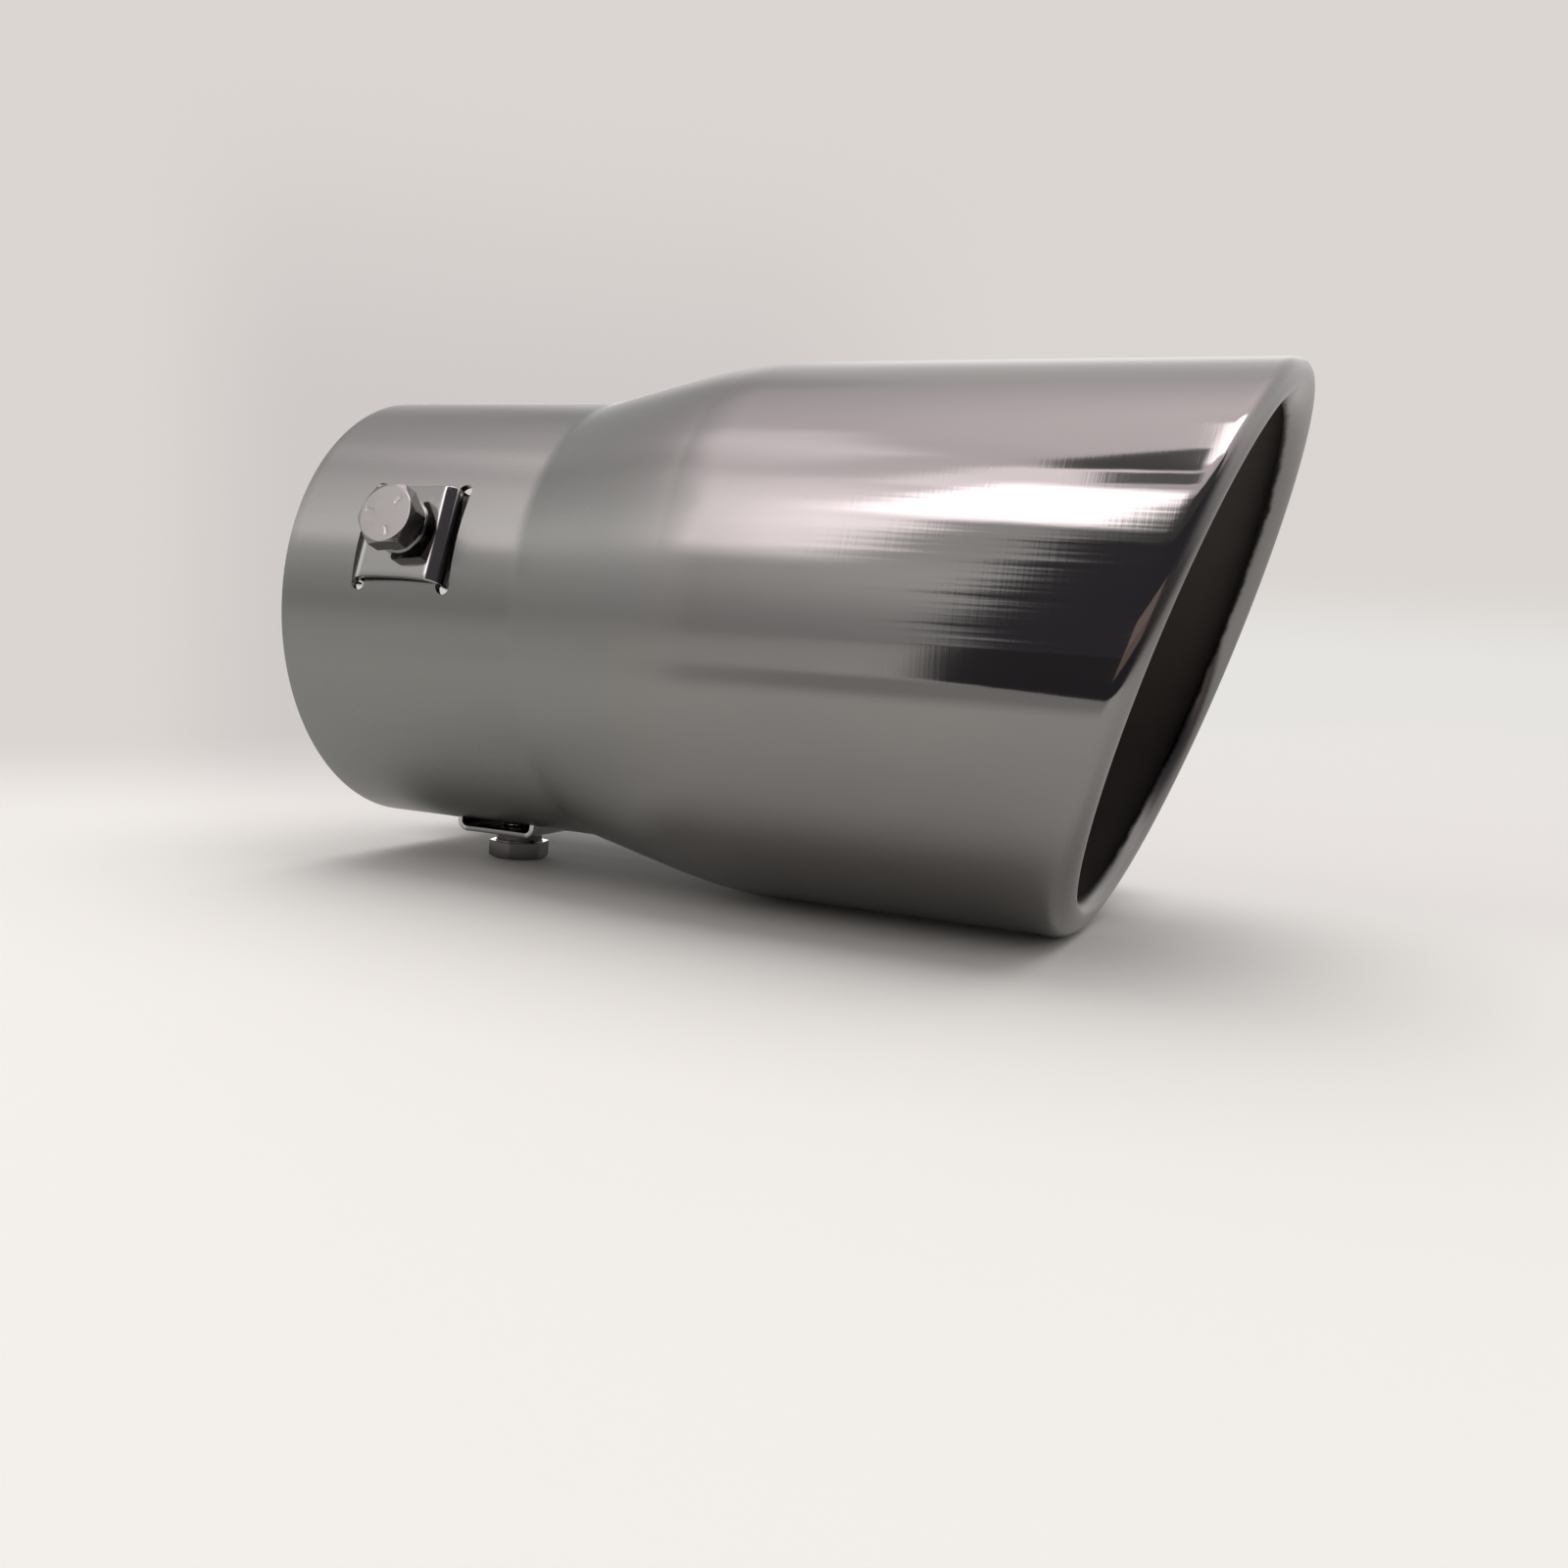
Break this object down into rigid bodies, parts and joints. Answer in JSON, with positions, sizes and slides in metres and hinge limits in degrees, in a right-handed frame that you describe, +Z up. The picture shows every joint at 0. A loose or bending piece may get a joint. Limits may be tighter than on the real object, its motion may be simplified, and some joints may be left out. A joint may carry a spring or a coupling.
{
  "type": "exhaust tail pipe tip",
  "caption": "Bolt-on exhaust tail pipe tip: straight inlet collar with clamp straps and hexagon bolts, soft flare to a wider body, slanted outlet with an inward rolled edge.",
  "frame": {"origin": "centre of the inlet rim, on the tube's axis", "axes": "+X along the tube's axis from the inlet to the outlet, +Z up, with the longer lip of the outlet on top; the lower bolt head and the underside of the body reach equally low, as the tip is set down in the picture"},
  "size_m": [0.1296, 0.0738, 0.0738],
  "materials": {
    "tube_steel": "dark grey stainless steel, satin with fine scratches that run round the tube, towards a mirror polish at the outlet, and dull brownish black inside",
    "strap_steel": "polished stainless steel strip",
    "bolt_steel": "plated steel, satin"
  },
  "bodies": {
    "tip": {"shell": "tube_steel", "front_strap": "strap_steel", "rear_strap": "strap_steel", "bottom_strap": "strap_steel"},
    "front_clamp_bolt": {"front_bolt": "bolt_steel"},
    "rear_clamp_bolt": {"rear_bolt": "bolt_steel"},
    "bottom_clamp_bolt": {"bottom_bolt": "bolt_steel"}
  },
  "joints": [
    {"name": "front_bolt_travel", "type": "slide", "parent": "tip", "child": "front_clamp_bolt", "axis": [0, -0.9483, 0.3173], "range_m": [0, 0.005]},
    {"name": "rear_bolt_travel", "type": "slide", "parent": "tip", "child": "rear_clamp_bolt", "axis": [0, 0.9483, 0.3173], "range_m": [0, 0.005]},
    {"name": "bottom_bolt_travel", "type": "slide", "parent": "tip", "child": "bottom_clamp_bolt", "axis": [0, 0, -1], "range_m": [0, 0.005]}
  ]
}
